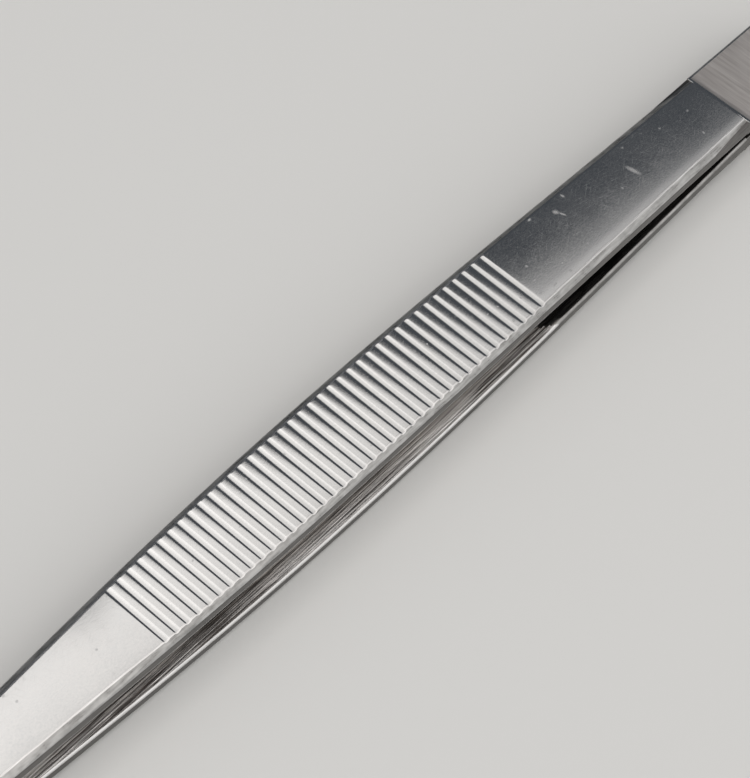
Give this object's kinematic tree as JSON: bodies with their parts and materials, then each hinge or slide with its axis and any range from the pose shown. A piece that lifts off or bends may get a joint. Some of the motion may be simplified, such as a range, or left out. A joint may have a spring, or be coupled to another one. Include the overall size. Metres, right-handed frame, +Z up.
{
  "type": "thumb forceps",
  "caption": "Slim thumb forceps: bowed spring legs welded at a flat heel, cross-grooved thumb grips, bevelled edges and toothed round tips.",
  "frame": {"origin": "under the middle of the forceps' box, on the surface that the lower leg's bow rests on", "axes": "+X along the legs towards the welded heel, +Y across the legs, +Z up from the lower leg to the upper leg"},
  "size_m": [0.16, 0.01, 0.0074],
  "materials": {
    "upper_leg": "mirror-polished outer face, satin bevel, ground inside",
    "lower_leg": "mirror-polished outer face, satin bevel, ground inside"
  },
  "bodies": {
    "root": {"upper_leg": "upper_leg", "lower_leg": "lower_leg"}
  },
  "joints": []
}
